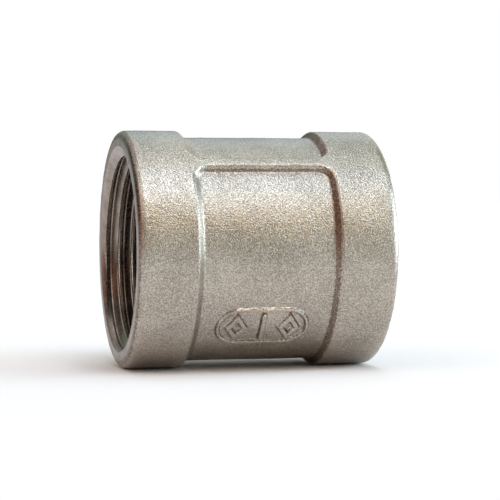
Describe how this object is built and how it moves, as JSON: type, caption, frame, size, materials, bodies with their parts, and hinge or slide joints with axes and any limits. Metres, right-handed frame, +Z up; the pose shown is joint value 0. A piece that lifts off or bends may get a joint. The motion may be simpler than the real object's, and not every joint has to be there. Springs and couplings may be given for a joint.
{
  "type": "pipe coupling",
  "caption": "Banded stainless pipe coupling, a threaded sleeve that joins two one-inch pipes end to end.",
  "frame": {"origin": "middle of the bore, halfway between the two end faces", "axes": "+X along the bore axis towards the right end, +Z up with the coupling lying on its side"},
  "size_m": [0.0428, 0.0394, 0.0396],
  "materials": {
    "cast_stainless": "blasted and pickled as-cast stainless outside, bright machined threads and end faces"
  },
  "bodies": {
    "root": {"coupling_body": "cast_stainless"}
  },
  "joints": []
}
